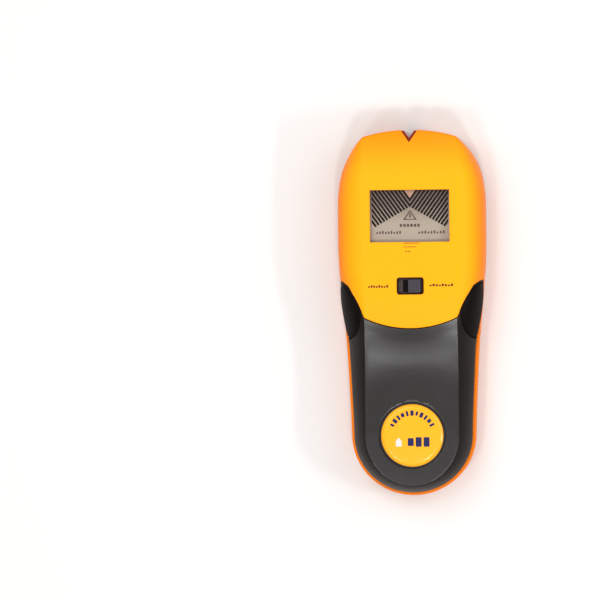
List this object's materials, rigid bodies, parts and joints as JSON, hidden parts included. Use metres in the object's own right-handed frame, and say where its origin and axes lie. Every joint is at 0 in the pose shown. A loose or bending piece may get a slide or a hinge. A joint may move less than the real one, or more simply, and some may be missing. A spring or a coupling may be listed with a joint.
{
  "type": "stud finder",
  "caption": "Hand-held stud finder with a yellow head, black waisted handle, LCD window, slide switch, side power button, marking notch and battery door.",
  "frame": {"origin": "middle of the bounding box's bottom face, on the sensing back, with the tool lying display up", "axes": "+Y along the tool towards the marking notch, +Z out of the display face, +X to the user's right when the display is read"},
  "size_m": [0.071, 0.1758, 0.0334],
  "materials": {
    "yellow_shell": "satin moulded ABS",
    "yellow_lower_shell": "satin moulded ABS",
    "black_grip": "fine-textured soft black",
    "black_key": "smooth black rubber",
    "badge_face": "gloss label",
    "battery_wrap": "printed film over a steel can",
    "foam": "closed-cell foam",
    "black_wire": "PVC insulation",
    "red_wire": "PVC insulation",
    "black_moulding": "moulded",
    "nickel": "nickel plate",
    "contact_rubber": "layered silicone",
    "chip_epoxy": "moulded epoxy",
    "capacitor_sleeve": "shrink sleeve",
    "clear_window": "clear acrylic",
    "lcd_face": "polariser film",
    "white_moulding": "moulded",
    "screw_steel": "zinc plated",
    "glide_felt": "felt",
    "circuit_board": "solder mask",
    "copper_plate": "bare copper",
    "red_lens": "clear red acrylic",
    "red_led": "clear red epoxy",
    "switch_metal": "tinned steel",
    "switch_knob": "moulded",
    "tact_plunger": "moulded"
  },
  "bodies": {
    "case": {"back_housing": "yellow_lower_shell", "badge": "badge_face", "battery": "battery_wrap", "battery_foam": "foam", "battery_lead_black": "black_wire", "battery_lead_red": "red_wire", "battery_snap": "black_moulding", "battery_terminal_negative": "nickel", "battery_terminal_positive": "nickel", "board_connector": "black_moulding", "capacitor_1": "capacitor_sleeve", "capacitor_2": "capacitor_sleeve", "contact_strip": "contact_rubber", "controller_chip": "chip_epoxy", "crystal_can": "nickel", "display_window": "clear_window", "front_housing": "yellow_shell", "glide_pad_1": "glide_felt", "glide_pad_2": "glide_felt", "glide_pad_3": "glide_felt", "glide_pad_4": "glide_felt", "handle_cover": "black_grip", "housing_screw_1": "screw_steel", "housing_screw_2": "screw_steel", "housing_screw_3": "screw_steel", "housing_screw_4": "screw_steel", "lcd_frame": "white_moulding", "lcd_panel": "lcd_face", "main_pcb": "circuit_board", "marker_lens": "red_lens", "mode_switch_body": "switch_metal", "piezo_buzzer": "black_moulding", "sensor_board": "circuit_board", "sensor_plate_centre": "copper_plate", "sensor_plate_left": "copper_plate", "sensor_plate_right": "copper_plate", "side_grip_pad": "black_key", "spotlight_led": "red_led", "tact_switch_body": "black_moulding"},
    "power_button": {"power_button": "black_key"},
    "tact_plunger": {"tact_plunger": "tact_plunger"},
    "mode_switch_knob": {"mode_switch_knob": "switch_knob"},
    "battery_door": {"battery_door": "yellow_lower_shell"}
  },
  "joints": [
    {"name": "power_button_press", "type": "slide", "parent": "case", "child": "power_button", "axis": [1, 0, 0], "range_m": [0, 0.0008], "stiffness_N_per_m": 2200, "springref_m": -0.0005},
    {"name": "tact_plunger_press", "type": "slide", "parent": "case", "child": "tact_plunger", "axis": [1, 0, 0], "range_m": [0, 0.0008]},
    {"name": "mode_switch_slide", "type": "slide", "parent": "case", "child": "mode_switch_knob", "axis": [1, 0, 0], "range_m": [-0.004, 0]},
    {"name": "battery_door_hinge", "type": "hinge", "parent": "case", "child": "battery_door", "pos_m": [0, -0.0196, 0.002], "axis": [1, 0, 0], "range_deg": [0, 80]}
  ],
  "couplings": [
    {"joint": "tact_plunger_press", "follows": "power_button_press", "ratio": 1}
  ]
}
